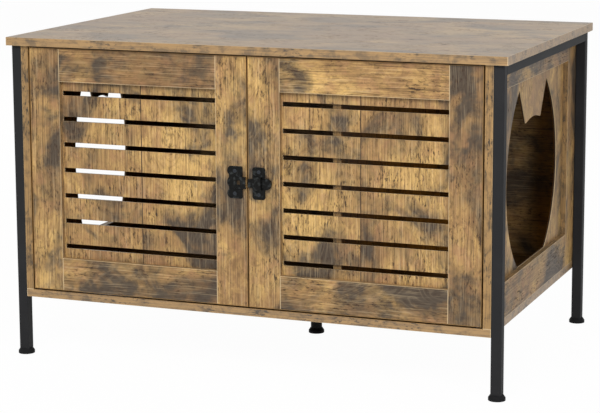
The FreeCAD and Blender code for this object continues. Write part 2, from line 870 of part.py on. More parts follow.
def keeper():
    """The cast plate on the left door, three lobes down its outer edge, and the staple that takes
    the bolt's tip. A square window goes through both."""
    left = -latch_plate_left() - keeper_plate_width
    piece = place(body("keeper_plate"), left, front, latch_height)
    plate = sketch(piece, "XZ_Plane")
    rounded_rectangle(
        plate,
        keeper_notch_depth,
        -latch_plate_height / 2,
        keeper_plate_width - keeper_notch_depth,
        latch_plate_height,
        keeper_notch_depth,
    )
    pad(piece, plate, latch_plate_thickness)
    end_lobe = (latch_plate_height / 2 - keeper_middle_lobe) / 2
    lobes = sketch(piece, "XZ_Plane")
    circle(lobes, keeper_middle_lobe, 0, keeper_middle_lobe)
    for z in (end_lobe - latch_plate_height / 2, latch_plate_height / 2 - end_lobe):
        circle(lobes, end_lobe, z, end_lobe)
    pad(piece, lobes, latch_plate_thickness)
    plate_holes(piece, keeper_plate_width / 2)
    keeper_window_hole(piece, keeper_window_offset, latch_plate_thickness)
    staple_left = keeper_plate_width + staple_overhang - staple_length
    staple = bridge("keeper_staple", left + staple_left, staple_length, staple_height)
    keeper_window_hole(staple, keeper_window_offset - staple_left, guide_depth)


def keeper_window_hole(piece, x, depth):
    window = sketch(piece, "XZ_Plane")
    rectangle(window, x, -keeper_window / 2, keeper_window, keeper_window)
    pocket(piece, window, depth, backwards=True)


def latch_bolt():
    """The bolt: a flat bar with a round rib along its face and an upright half-round grip."""
    piece = place(body("latch_bolt"), meeting_gap / 2 + bolt_tip_setback, front, latch_height)
    back = latch_plate_thickness + bolt_play
    bar = sketch(piece, "XZ_Plane", back)
    rectangle(bar, 0, -bolt_height / 2, bolt_length, bolt_height)
    pad(piece, bar, bolt_thickness)
    rib = sketch(piece, "YZ_Plane", bolt_rib_setback)
    circle(rib, -back - bolt_thickness, 0, bolt_rib_radius)
    pad(piece, rib, bolt_length - bolt_rib_setback)
    grip = sketch(piece, "XZ_Plane", back)
    half_round(grip, bolt_length, grip_radius)
    pad(piece, grip, grip_thickness)


def plate_screws(side, name):
    """Two screws with cone-edged heads, through a plate into its stile."""
    low = latch_height - screw_spacing / 2
    piece = place(body(name), screw_x(side), front, low, Rotation(Vector(1, 0, 0), 90))
    shape = sketch(piece, "XZ_Plane")
    outline(
        shape,
        [
            (0, latch_plate_thickness - screw_length),
            (screw_radius, latch_plate_thickness - screw_length),
            (screw_radius, latch_plate_thickness),
            (screw_head_radius, latch_plate_thickness),
            (screw_head_top_radius, latch_plate_thickness + screw_head_height),
            (0, latch_plate_thickness + screw_head_height),
        ],
    )
    turned = revolve(piece, shape)
    repeat(piece, [turned], "Y_Axis", screw_spacing, as_size(2))


def build():
    top_panel()
    bottom_panel()
    back_and_divider()
    for side, name in ((-1, "left"), (1, "right")):
        side_panel(side, name)
        frame_bolts(side, name)
        for end in ("front", "rear"):
            post(side, name, end)
            y = front + tube_size / 2 if end == "front" else frame_half_depth - tube_size / 2
            foot(f"{name}_{end}_foot", (frame_half_width - tube_size / 2) * side, y, True)
        frame_top_rail(side, name)
        door(side, name)
        pivot(side, name, False)
        pivot(side, name, True)
    centre_leg()
    foot("centre_foot", 0, leg_setback, False)
    latch_plate()
    keeper()
    latch_bolt()
    plate_screws(1, "latch_screws")
    plate_screws(-1, "keeper_screws")


def write():
    """Checks every object, then writes each piece."""
    DOC.recompute()
    for thing in DOC.Objects:
        for state in thing.State:
            if state in ("Invalid", "Error"):
                raise RuntimeError(f"{thing.Name} is {state}")
    pieces = [thing for thing in DOC.Objects if thing.TypeId == "PartDesign::Body"]
    for piece in pieces:
        if piece.Shape.isNull() or not piece.Shape.isValid():
            raise RuntimeError(f"{piece.Label} has no valid shape")
    os.makedirs("parts", exist_ok=True)
    for piece in pieces:
        piece.Shape.exportStep(f"parts/{piece.Label}.step")
        print(piece.Label, len(piece.Shape.Solids), round(piece.Shape.Volume, 1))
    print(len(pieces), "pieces")


build()
write()
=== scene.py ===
"""Looks of the litter box cabinet: rustic decor boards, powder-coated steel, a cast slide bolt, feet and
small fasteners, with the floor, lights and camera. Metres, +Z up, the doors to -Y."""
import math

import bmesh
import bpy
import numpy as np
from bpy.props import FloatProperty, FloatVectorProperty, PointerProperty
from mathutils import Matrix, Vector


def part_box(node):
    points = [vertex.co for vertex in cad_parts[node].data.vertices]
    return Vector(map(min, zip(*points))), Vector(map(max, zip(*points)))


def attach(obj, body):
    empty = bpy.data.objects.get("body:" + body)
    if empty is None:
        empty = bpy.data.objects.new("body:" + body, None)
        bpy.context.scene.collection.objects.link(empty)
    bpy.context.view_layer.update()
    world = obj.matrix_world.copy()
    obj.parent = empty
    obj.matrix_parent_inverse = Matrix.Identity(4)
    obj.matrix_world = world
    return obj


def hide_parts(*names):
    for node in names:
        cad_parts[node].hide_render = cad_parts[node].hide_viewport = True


bl_info = {
    "name": "Litter box cabinet finishes",
    "version": (1, 0, 0),
    "blender": (4, 5, 0),
    "location": "View3D > Sidebar > Cabinet",
    "description": "Finishes the packed cabinet: decor boards, steel, cast iron, screws and the stage",
    "category": "Object",
}

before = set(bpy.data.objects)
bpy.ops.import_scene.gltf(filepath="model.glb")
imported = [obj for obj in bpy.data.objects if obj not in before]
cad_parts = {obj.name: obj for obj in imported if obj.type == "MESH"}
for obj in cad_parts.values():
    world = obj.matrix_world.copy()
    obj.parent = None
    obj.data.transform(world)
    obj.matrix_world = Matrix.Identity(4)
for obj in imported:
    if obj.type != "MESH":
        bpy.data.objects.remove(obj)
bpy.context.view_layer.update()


def tone(red, green, blue):
    """A screen colour, 0 to 255 a channel, as the linear colour that Blender works in."""
    share = np.array([red, green, blue]) / 255
    linear = np.where(share <= 0.04045, share / 12.92, ((share + 0.055) / 1.055) ** 2.4)
    return tuple(float(value) for value in linear)


# ---- what a user would change ----
def colour_setting(name, description, default):
    return FloatVectorProperty(
        name=name, description=description, default=default, size=3, subtype="COLOR", min=0, max=1
    )


def share_setting(name, description, default):
    return FloatProperty(
        name=name, description=description, default=default, subtype="FACTOR", min=0, max=1
    )


def length_setting(name, description, default):
    return FloatProperty(
        name=name, description=description, default=default, subtype="DISTANCE", unit="LENGTH"
    )


def power_setting(name, description, default):
    return FloatProperty(name=name, description=description, default=default, subtype="POWER", min=0)


class BoardSettings(bpy.types.PropertyGroup):
    gold: colour_setting("Gold", "The brightest worn patches of the decor", tone(203, 165, 101))
    tan: colour_setting("Tan", "The decor's main colour", tone(175, 139, 88))
    brown: colour_setting("Brown", "The decor between its tan and its dark patches", tone(143, 110, 73))
    blush: colour_setting("Blush", "The faintly red patches between the gold ones", tone(168, 124, 90))
    smoke: colour_setting("Smoke", "The dark grey-brown patches", tone(78, 68, 57))
    # Dulled calms the flat boards' print; on the top it is painted sheen, standing in for part of the
    # greying that the shine gives.
    sheen_dulled: colour_setting("Dulled", "What calms the print on the flat boards", tone(118, 97, 66))
    # Line is the grain lines' colour, and also paints the shade deep in a field's cut edges.
    line: colour_setting("Line", "Grain lines, pores and knots", tone(58, 42, 30))
    band: colour_setting("Edge band", "The strip on the boards' edges", tone(158, 126, 84))
    # Rim colours the pale grain streaks, and paints the highlight along the boards' edges and at the front
    # of a field's cut edges.
    rim: colour_setting("Rim", "The pale line where a board ends", tone(208, 184, 146))
    # Inner tint and Inner shade paint shade on the faces inside the carcass and in the gaps round the
    # doors.
    inner: colour_setting("Inner tint", "What the inner faces are multiplied by", tone(178, 144, 62))
    painted_shade_share: share_setting("Inner shade", "How far the inner tint reaches in the darkest corners", 0.95)
    patch_scale: FloatProperty(
        name="Patch scale", description="Dark patches in a metre", default=10.0, min=1, max=40
    )
    # Rim width: how far the painted edge highlight reaches in from an edge.
    highlight_width: length_setting("Rim width", "How far the pale line reaches in from an edge", 0.0011)
    roughness: share_setting("Roughness", "The decor film's roughness", 0.42)


class SteelSettings(bpy.types.PropertyGroup):
    coat: colour_setting("Powder coat", "The frames' coat", tone(38, 38, 39))
    plastic: colour_setting("Plastic", "The feet and bushes", tone(27, 27, 28))
    zinc: colour_setting("Black zinc", "The pivot pins' plating", tone(52, 52, 54))
    grain: FloatProperty(
        name="Coat grain", description="Grains of the coat in a metre", default=1400, min=100, max=5000
    )


class LatchSettings(bpy.types.PropertyGroup):
    iron: colour_setting("Iron", "The cast slide bolt", tone(13, 13, 12))
    # Worn iron is partly rubbed wear and partly a painted highlight on the casting.
    worn: colour_setting("Worn iron", "Where the casting is rubbed", tone(74, 78, 78))
    edge: length_setting("Edge", "Rounding of the casting's edges", 0.0005)
    screw_slots: length_setting("Cross slot", "Half the width of a screw's cross slot", 0.00042)


class StageSettings(bpy.types.PropertyGroup):
    floor: colour_setting("Floor", "The floor's own colour", (0.82, 0.82, 0.82))
    floor_reach: length_setting("Floor reach", "Half the floor's side", 30.0)
    daylight: FloatProperty(
        name="Daylight", description="Strength of the even light all round", default=0.36, min=0
    )
    key: power_setting("Key light", "Power of the large light at the front", 131.0)
    side: power_setting("Side light", "Power of the light at the right", 72.0)
    back: power_setting("Back light", "Power of the light behind", 45.0)
    lens: FloatProperty(
        name="Lens",
        description="Focal length on a sensor 36 mm wide",
        default=120.046,
        subtype="DISTANCE_CAMERA",
    )


# ---- materials as expressions ----
class Flow:
    """A socket's value. Arithmetic on it adds one Math node a step."""

    def __init__(self, finish, socket):
        self.finish = finish
        self.socket = socket

    def math(self, operation, *values):
        return self.finish.node("ShaderNodeMath", {"operation": operation}, dict(enumerate(values)))

    def __add__(self, other):
        return self.math("ADD", self, other)

    def __radd__(self, other):
        return self.math("ADD", other, self)

    def __sub__(self, other):
        return self.math("SUBTRACT", self, other)

    def __rsub__(self, other):
        return self.math("SUBTRACT", other, self)

    def __mul__(self, other):
        return self.math("MULTIPLY", self, other)

    def __rmul__(self, other):
        return self.math("MULTIPLY", other, self)

    def __abs__(self):
        return self.math("ABSOLUTE", self)

    def least(self, other):
        return self.math("MINIMUM", self, other)

    def most(self, other):
        return self.math("MAXIMUM", self, other)

    def sine(self):
        return self.math("SINE", self)

    def step(self, low, high):
        """0 at low, 1 at high, with a smooth way between them; low may be the larger."""
        if low > high:
            return 1 - self.step(high, low)
        return self.finish.node(
            "ShaderNodeMapRange",
            {"interpolation_type": "SMOOTHSTEP"},
            {"Value": self, "From Min": low, "From Max": high},
        )


class Finish:
    """The nodes of one material or world while they are put together."""

    def __init__(self, block):
        self.block = block
        block.use_nodes = True
        self.tree = block.node_tree
        self.tree.nodes.clear()

    def node(self, kind, settings=None, inputs=None, output=0):
        """Adds a node: its settings, then its sockets' values or links. Several outputs make a list."""
        node = self.tree.nodes.new(kind)
        for name, value in (settings or {}).items():
            if name == "stops":
                self.set_stops(node.color_ramp, value)
            else:
                setattr(node, name, value)
        for key, value in (inputs or {}).items():
            if isinstance(value, Flow):
                self.tree.links.new(value.socket, node.inputs[key])
            else:
                node.inputs[key].default_value = value
        if isinstance(output, (list, tuple)):
            return [Flow(self, node.outputs[name]) for name in output]
        return Flow(self, node.outputs[output]) if node.outputs else None

    @staticmethod
    def set_stops(ramp, stops):
        while len(ramp.elements) < len(stops):
            ramp.elements.new(1.0)
        for element, (position, colour) in zip(ramp.elements, stops):
            element.position = position
            element.color = (*colour, 1)

    def place(self):
        return self.node("ShaderNodeTexCoord", output="Object")

    def split(self, vector):
        return self.node("ShaderNodeSeparateXYZ", inputs={0: vector}, output=("X", "Y", "Z"))

    def join(self, x, y, z):
        return self.node("ShaderNodeCombineXYZ", inputs={"X": x, "Y": y, "Z": z})

    def cloud(self, place, scale, detail=2.0, roughness=0.5, distortion=0.0):
        sockets = {
            "Vector": place,
            "Scale": scale,
            "Detail": detail,
            "Roughness": roughness,
            "Distortion": distortion,
        }
        return self.node("ShaderNodeTexNoise", inputs=sockets)

    def cells(self, place, scale):
        """The distance from the nearest of scattered points."""
        sockets = {"Vector": place, "Scale": scale}
        return self.node("ShaderNodeTexVoronoi", inputs=sockets, output="Distance")

    def blend(self, share, first, second, kind="MIX"):
        """Two colours mixed: share 0 gives the first and 1 the second."""
        colours = [value if isinstance(value, Flow) else (*value, 1) for value in (first, second)]
        return self.node(
            "ShaderNodeMix",
            {"data_type": "RGBA", "blend_type": kind, "clamp_factor": True},
            {0: share, 6: colours[0], 7: colours[1]},
            output=2,
        )

    def bump(self, height, distance, strength=1.0):
        sockets = {"Height": height, "Distance": distance, "Strength": strength}
        return self.node("ShaderNodeBump", inputs=sockets, output="Normal")

    def close(self, colour, roughness, normal=None, **constants):
        """Ends the material in one Principled shader and gives the material back."""
        sockets = {"Base Color": colour, "Roughness": roughness}
        if not isinstance(colour, Flow):
            sockets["Base Color"] = (*colour, 1)
        if normal is not None:
            sockets["Normal"] = normal
        sockets.update(constants)
        shader = self.node("ShaderNodeBsdfPrincipled", inputs=sockets)
        self.node("ShaderNodeOutputMaterial", inputs={"Surface": shader})
        return self.block


# ---- the decor boards ----
# for each board: the axis the grain runs along, the axis its broad face looks along, and how much darker
# (below 0) or lighter its part of the print is
BOARDS = {
    "top_panel": ("x", "z", -0.02),
    "bottom_panel": ("x", "z", 0.0),
    "back_panel": ("x", "y", 0.0),
    "divider_panel": ("z", "x", 0.02),
    "left_side_front_stile": ("z", "x", 0.0),
    "left_side_rear_stile": ("z", "x", 0.0),
    "left_side_top_rail": ("y", "x", 0.0),
    "left_side_bottom_rail": ("y", "x", 0.0),
    "left_side_field": ("z", "x", 0.0),
    # the right side panel's boards are all set darker than the left's: painted shade on that side
    "right_side_front_stile": ("z", "x", -0.03),
    "right_side_rear_stile": ("z", "x", -0.03),
    "right_side_top_rail": ("y", "x", -0.045),
    "right_side_bottom_rail": ("y", "x", -0.03),
    "right_side_field": ("z", "x", -0.04),
    "left_door_hinge_stile": ("z", "y", -0.025),
    "left_door_meeting_stile": ("z", "y", -0.012),
    "left_door_top_rail": ("x", "y", -0.05),
    "left_door_bottom_rail": ("x", "y", -0.035),
    "left_door_slat_field": ("z", "y", -0.015),
    "right_door_hinge_stile": ("z", "y", -0.06),
    "right_door_meeting_stile": ("z", "y", -0.035),
    "right_door_top_rail": ("x", "y", 0.04),
    "right_door_bottom_rail": ("x", "y", -0.07),
    "right_door_slat_field": ("z", "y", -0.012),
}

# where a board is printed as two planks side by side: the joint's place across the grain, how far from it
# its dark line starts and is full, half the width of the change of print, and how far the second plank's
# part of the print lies from the first's
JOINTS = {"left_door_slat_field": -0.223, "right_door_slat_field": 0.220}
JOINT_START = 0.0014
JOINT_FULL = 0.0005
JOINT_CHANGE = 0.0002
PLANK_SHIFT = 3.7

# how far off a board's part of the print may start, drawn from the board's seed, and the first seed
PRINT_REACH = 20
FIRST_SEED = 11

# the decor film's shine, by the axis that a board's broad face looks along: the top is the polished one
SHEEN = {
    "x": {"Specular IOR Level": 0.12},
    "y": {"Specular IOR Level": 0.25},
    "z": {"Specular IOR Level": 0.5, "Coat Weight": 0.13, "Coat Roughness": 0.3},
}

# how deep the layer is in which the painted inner shade's mask changes, and how wide the gaps round the
# doors are
SKIN = 0.0003
DOOR_GAP = 0.0035

# how far the full painted shade reaches from a side panel or the divider and where it ends, and what is
# left of it in the middle of a room and in a gap
SHADE_REACH = 0.055
SHADE_END = 0.09
ROOM_SHADE = 0.12
GAP_SHADE = 0.75

# how much of the painted edge highlight shows on a broad face, and where a field's cut edge turns from its
# painted highlight to painted shade
HIGHLIGHT_SHARE = 0.65
CUT_HIGHLIGHT = 0.0012
CUT_SHADE = 0.0022


class Board(Finish):
    """The material of one board. Its points are known by their place in Object coordinates along the grain,
    across it and through the thickness."""

    def __init__(self, name, grain, face, seed):
        super().__init__(bpy.data.materials.new(name))
        self.name = name
        self.grain = grain
        self.face = face
        self.point = dict(zip("xyz", self.split(self.place())))
        self.wide = next(axis for axis in self.point if axis not in (grain, face))
        draws = np.random.default_rng(seed).uniform(-PRINT_REACH, PRINT_REACH, 3)
        self.offset = [float(value) for value in draws]
        self.printed = self.point[self.wide] + self.offset[0]
        self.joint = 0.0
        if name in JOINTS:
            from_joint = self.point[self.wide] - JOINTS[name]
            self.printed = self.printed + from_joint.step(-JOINT_CHANGE, JOINT_CHANGE) * PLANK_SHIFT
            self.joint = abs(from_joint).step(JOINT_START, JOINT_FULL)

    def stretched(self, share):
        """The print's place: the smaller the share, the longer its marks lie along the grain."""
        along = self.point[self.grain] * share + self.offset[1]
        return self.join(self.printed, along, self.point[self.face] + self.offset[2])

    def inset(self, axis):
        """How far a point lies inside the nearer of the board's two faces along an axis."""
        low, high = (getattr(corner, axis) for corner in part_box(self.name))
        return (self.point[axis] - low).least(high - self.point[axis])


class Marks:
    """The print's marks on one board. Narrow clouds drawn out along the grain give streaks and ribbons, a
    cloud near its middle value the cracks, the sine of a slow cloud the figure's lines, fine clouds in
    clusters the specks and flakes, and short distances from scattered points the knots. They add up to
    how dark and how pale a point is marked, and to the height that the bump takes."""

    def __init__(self, board, broad, blots):
        fine = board.stretched(0.03)
        self.streaks = board.cloud(fine, 420, roughness=0.6)
        ribbons = board.cloud(fine, 110)
        cracks = board.cloud(board.stretched(0.05), 30, detail=3.0, roughness=0.6)
        cracks = abs(cracks - 0.5).step(0.012, 0.003)
        contours = board.cloud(board.stretched(0.3), 12, distortion=1.2)
        gate = board.cloud(broad, 5.0).step(0.47, 0.58)
        wave = (contours * 120).sine()
        clusters = board.cloud(broad, 22).step(0.45, 0.62)
        specks = board.cloud(board.stretched(0.3), 300, roughness=0.6)
        self.specks = specks.step(0.54, 0.64) * clusters
        flakes = board.cloud(board.stretched(0.45), 130, detail=5.0, roughness=0.7, distortion=0.8)
        flakes = flakes.step(0.5, 0.6) * (blots.step(0.38, 0.58) * 0.7 + 0.3)
        knots = (board.cells(broad, 5.5) + blots * 0.08).step(0.16, 0.07)
        self.dark = (
            self.streaks.step(0.56, 0.36) * 0.3
            + ribbons.step(0.52, 0.36) * 0.1
            + wave.step(-0.45, -0.95) * gate * 0.15
            + flakes * 0.32
            + self.specks * 0.55
            + cracks * 0.35
            + knots * 0.4
            + board.joint
        )
        self.pale = self.streaks.step(0.54, 0.7) * 0.22 + wave.step(0.5, 0.95) * gate * 0.06
        self.relief = self.streaks * 0.5 + ribbons * 0.3 - self.specks * 0.6 + wave * gate * 0.1


def print_ground(board, broad, blots, shade, look):
    """The print under its marks: brown, tan and gold in blots, then faintly red and dark smoky patches.
    Flat boards have longer patches and a calmer, darker print, which on the top panel is painted sheen."""
    drift = board.cloud(broad, look.patch_scale * 0.5)
    colour = board.node(
        "ShaderNodeValToRGB",
        {"stops": [(0.38, look.brown), (0.5, look.tan), (0.62, look.gold)]},
        {"Fac": drift * 0.65 + blots * 0.65 + (shade * 0.5 - 0.15)},
    )
    blush = board.cloud(board.stretched(0.8), look.patch_scale * 3, detail=3.0, roughness=0.6)
    colour = board.blend(blush.step(0.5, 0.66) * 0.4, colour, look.blush)
    place = board.stretched(0.5 if board.face == "z" else 0.8)
    patches = board.cloud(place, look.patch_scale, detail=4.0, roughness=0.55, distortion=0.7)
    smoke = (patches + (blots - 0.5) * 0.4).step(0.45 + shade * 1.5, 0.7 + shade * 1.5)
    colour = board.blend(smoke, colour, look.smoke)
    # painted sheen: the flat boards' print is blended halfway to one calm brown
    if board.face == "z":
        colour = board.blend(0.5, colour, look.sheen_dulled)
    return colour


def edge_strip(board, colour, marks, blots, look):
    """The band on the board's edges, with a painted highlight along the rim where its broad faces end and
    along the corners where two edge faces meet. A field's cut edges get a painted highlight at the outer
    face and painted shade below it."""
    from_side = board.inset(board.wide)
    from_end = board.inset(board.grain)
    edge_face = board.inset(board.face).step(0.0001, 0.0004)
    # rim and corner mark the painted highlight along the broad faces' edges and the edge faces' corners
    rim = from_side.least(from_end).step(look.highlight_width, look.highlight_width * 0.3)
    corner = from_side.most(from_end).step(look.highlight_width, look.highlight_width * 0.3)
    worn = marks.streaks.step(0.6, 0.35) * 0.4 + blots.step(0.56, 0.36) * 0.5 + marks.specks * 0.8
    band = board.blend(worn, look.band, look.smoke)
    if board.name.endswith("field"):
        low, high = (getattr(limit, board.face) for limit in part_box(board.name))
        depth = board.point[board.face]
        from_front = high - depth if low + high > 0 else depth - low
        # a field's cut edge: painted highlight at the outer face, painted shade deeper in
        band = board.blend(from_front.step(CUT_HIGHLIGHT, CUT_SHADE), look.rim, look.line)
    colour = board.blend(edge_face, colour, band)
    return board.blend(rim * (1 - edge_face) * HIGHLIGHT_SHARE + corner * edge_face, colour, look.rim)


def inner_shade(board):
    """How much painted shade a point gets inside: 0 outside, 1 near the faces of the side panels and the
    divider, less in the rooms' middle and in the narrow gaps round and between the doors."""
    x, y, z = board.point.values()
    left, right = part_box("left_side_field")[1].x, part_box("right_side_field")[0].x
    low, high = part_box("bottom_panel")[1].z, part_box("top_panel")[0].z
    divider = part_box("divider_panel")
    from_side = (x - left).least(right - x)
    to_wall = from_side.least(z - low).least(high - z)
    before_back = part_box("back_panel")[0].y - y
    within = to_wall.step(-2 * SKIN, -SKIN) * before_back.step(-2 * SKIN, -SKIN)
    behind_doors = (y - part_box("left_door_hinge_stile")[1].y).step(-2 * SKIN, -SKIN)
    # painted shade in the gaps round and between the doors
    gap_shade_mask = to_wall.least(abs(x) + DOOR_GAP / 2).step(DOOR_GAP + 3 * SKIN, DOOR_GAP + 2 * SKIN)
    front_edge = (y - divider[0].y).step(2 * SKIN, SKIN)
    from_divider = abs(x - (divider[0].x + divider[1].x) / 2) + front_edge
    # painted shade near the side panels and the divider, weaker in the middle of a room
    corner = from_side.least(from_divider).step(SHADE_END, SHADE_REACH)
    room_shade_mask = behind_doors * (ROOM_SHADE + corner * (1 - ROOM_SHADE))
    return within * room_shade_mask.most(gap_shade_mask * GAP_SHADE)


def board_finish(name, grain, face, shade, seed, look):
    """A printed rustic decor on one board, its edge band with painted highlights along its edges, and
    painted shade on the faces that look inside and in the gaps round the doors.
    """
    board = Board(name, grain, face, seed)
    broad = board.stretched(0.6)
    place = board.stretched(0.75)
    blots = board.cloud(place, look.patch_scale * 4.5, detail=5.0, roughness=0.65, distortion=0.5)
    marks = Marks(board, broad, blots)
    colour = print_ground(board, broad, blots, shade, look)
    colour = board.blend(marks.dark, colour, look.line)
    colour = board.blend(marks.pale, colour, look.rim)
    colour = edge_strip(board, colour, marks, blots, look)
    # painted shade on the inner faces and in the gaps round the doors
    colour = board.blend(inner_shade(board) * look.painted_shade_share, colour, look.inner, "MULTIPLY")
    roughness = look.roughness + marks.specks * 0.2 + (marks.streaks - 0.5) * 0.12
    normal = board.bump(marks.relief, 0.00012, strength=0.5)
    return board.close(colour, roughness, normal, **SHEEN[face])


class CABINET_OT_boards(bpy.types.Operator):
    """Gives every board its own cut of the rustic decor"""

    bl_idname = "cabinet.boards"
    bl_label = "Decor boards"

    def execute(self, context):
        look = context.scene.cabinet_boards
        for seed, (name, (grain, face, shade)) in enumerate(BOARDS.items(), FIRST_SEED):
            give(name, board_finish(name, grain, face, shade, seed, look))
        return {"FINISHED"}


def give(name, material):
    """Puts a material on every slot of a CAD node."""
    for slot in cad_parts[name].material_slots:
        slot.material = material


# ---- steel, plastic, iron ----
DULL = {"Specular IOR Level": 0.08}


def scaled(colour, share):
    """A colour made darker or lighter."""
    return tuple(value * share for value in colour)


def coat_finish(name, colour, grain, roughness=0.58):
    """Powder coat: an even dark colour with the fine orange peel of the baked powder."""
    finish = Finish(bpy.data.materials.new(name))
    place = finish.place()
    peel = finish.cloud(place, grain, roughness=0.6)
    drift = finish.cloud(place, 14)
    shade = finish.blend(drift.step(0.35, 0.7) * 0.35, colour, scaled(colour, 1.5))
    normal = finish.bump(peel, 0.00006, strength=0.6)
    return finish.close(shade, roughness + (peel - 0.5) * 0.15, normal, **DULL)


def moulded_finish(name, colour):
    """Moulded plastic with a fine spark-eroded grain."""
    finish = Finish(bpy.data.materials.new(name))
    place = finish.place()
    grain = finish.cloud(place, 2400, roughness=0.7)
    scuffs = finish.cloud(place, 90, detail=3.0, roughness=0.6).step(0.6, 0.75)
    shade = finish.blend(scuffs * 0.4, colour, scaled(colour, 2.2))
    normal = finish.bump(grain, 0.00005, strength=0.6)
    return finish.close(shade, 0.55 + grain * 0.1, normal, **DULL)


def zinc_finish(name, colour):
    """Zinc plate with faint spangle."""
    finish = Finish(bpy.data.materials.new(name))
    spangle = finish.cells(finish.place(), 900)
    shade = finish.blend(spangle.step(0.2, 0.8) * 0.3, colour, scaled(colour, 0.7))
    return finish.close(shade, 0.3 + spangle * 0.1, Metallic=1.0)


def iron_finish(name, iron, worn):
    """Antique cast iron: hammered dimples in a black coat that is rubbed paler in patches, partly worn iron
    and partly painted highlight.
    """
    finish = Finish(bpy.data.materials.new(name))
    place = finish.place()
    dimples = finish.node(
        "ShaderNodeTexVoronoi",
        {"feature": "SMOOTH_F1"},
        {"Vector": place, "Scale": 330, "Smoothness": 0.6},
        "Distance",
    )
    grit = finish.cloud(place, 1500, detail=3.0, roughness=0.7)
    # the paler rubbed patches are partly wear and partly painted highlight
    rub = finish.cloud(place, 110, detail=3.0, roughness=0.6).step(0.5, 0.72)
    shade = finish.blend(rub * 0.45, iron, worn)
    normal = finish.bump(dimples + grit * 0.25, 0.0004)
    return finish.close(shade, 0.3 + grit * 0.14, normal, **{"Specular IOR Level": 0.12})


class CABINET_OT_frames(bpy.types.Operator):
    """Powder-coats the posts, the frame rails and the centre leg"""

    bl_idname = "cabinet.frames"
    bl_label = "Steel frames"

    def execute(self, context):
        look = context.scene.cabinet_steel
        coat = coat_finish("powder_coat", look.coat, look.grain)
        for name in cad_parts:
            if name.endswith(("_post", "frame_top_rail")) or name == "centre_leg":
                give(name, coat)
        return {"FINISHED"}


class CABINET_OT_pivots(bpy.types.Operator):
    """Finishes the pivot pins, their bushes and the feet"""

    bl_idname = "cabinet.pivots"
    bl_label = "Pins, bushes and feet"

    def execute(self, context):
        look = context.scene.cabinet_steel
        zinc = zinc_finish("zinc_plate", look.zinc)
        plastic = moulded_finish("moulded_plastic", look.plastic)
        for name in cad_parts:
            if name.endswith("_pin"):
                give(name, zinc)
            if name.endswith(("_bush", "_foot")):
                give(name, plastic)
        return {"FINISHED"}


# ---- pieces ----
def add_piece(name, mesh, material, body, replaced):
    """Links a finished mesh, gives it its material, sets it to ride on its body, and hides the CAD node
    that it stands for."""
    piece = bpy.data.objects.new(name, mesh)
    bpy.context.scene.collection.objects.link(piece)
    mesh.materials.clear()
    mesh.materials.append(material)
    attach(piece, body)
    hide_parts(replaced)
    return piece


def softened(node, body, material, edge):
    """A CAD node's own shape with its sharp edges rounded: loose triangles merged, flat ones joined and a
    bevel on top."""
    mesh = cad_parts[node].data.copy()
    mesh.name = f"{node}_cast"
    work = bmesh.new()
    work.from_mesh(mesh)
    bmesh.ops.remove_doubles(work, verts=work.verts, dist=1e-6)
    bmesh.ops.dissolve_limit(work, angle_limit=0.02, verts=work.verts, edges=work.edges)
    work.to_mesh(mesh)
    work.free()
    piece = add_piece(f"{node}_cast", mesh, material, body, node)
    bevel = piece.modifiers.new("edge", "BEVEL")
    bevel.width = edge
    bevel.segments = 2
    bevel.limit_method = "ANGLE"
    bevel.angle_limit = math.radians(40)
    mesh.shade_flat()


CASTINGS = {
    "latch_plate": "right_door",
    "bolt_guide": "right_door",
    "keeper_plate": "left_door",
    "keeper_staple": "left_door",
    "latch_bolt": "bolt",
}


class CABINET_OT_slide_bolt(bpy.types.Operator):
    """Rounds the castings' edges and gives them hammered black iron"""

    bl_idname = "cabinet.slide_bolt"
    bl_label = "Slide bolt"

    def execute(self, context):
        look = context.scene.cabinet_latch
        iron = iron_finish("antique_iron", look.iron, look.worn)
        for node, body in CASTINGS.items():
            softened(node, body, iron, look.edge)
        return {"FINISHED"}


def joined_sheets(name, sheets):
    """One mesh from pairs of sheets, each a (rows, columns, 3) array of points: the top sheet, the bottom
    sheet under it and a wall round their shared rim, all faces outwards."""
    points, faces, start = [], [], 0
    for top, bottom in sheets:
        rows, columns = top.shape[:2]
        count = rows * columns
        index = start + np.arange(count).reshape(rows, columns)
        corners = [index[:-1, :-1], index[1:, :-1], index[1:, 1:], index[:-1, 1:]]
        upper = np.stack(corners, -1).reshape(-1, 4)
        rim = np.concatenate([index[:-1, 0], index[-1, :-1], index[:0:-1, -1], index[0, :0:-1]])
        after = np.roll(rim, -1)
        wall = np.stack([rim, rim + count, after + count, after], -1)
        points += [top.reshape(-1, 3), bottom.reshape(-1, 3)]
        faces += [upper, upper[:, ::-1] + count, wall]
        start += 2 * count
    mesh = bpy.data.meshes.new(name)
    mesh.from_pydata(np.concatenate(points).tolist(), [], np.concatenate(faces).tolist())
    return mesh


DISC_POINTS = 33


def disc(radius):
    """Points of a disc on a square grid: u, v from -1 to 1 go to u * sqrt(1 - v * v / 2) and
    v * sqrt(1 - u * u / 2), times the radius, so that the grid's middle lines stay straight."""
    line = np.linspace(-1, 1, DISC_POINTS)
    u, v = np.meshgrid(line, line, indexing="ij")
    return radius * u * np.sqrt(1 - v * v / 2), radius * v * np.sqrt(1 - u * u / 2)


# shares of a pan head: how far its dome falls to the rim, how far out the cross slot reaches, over what
# length it runs out, and how deep it is
DOME_FALL = 0.55
SLOT_REACH = 0.62
SLOT_END = 0.1
SLOT_DEPTH = 0.6


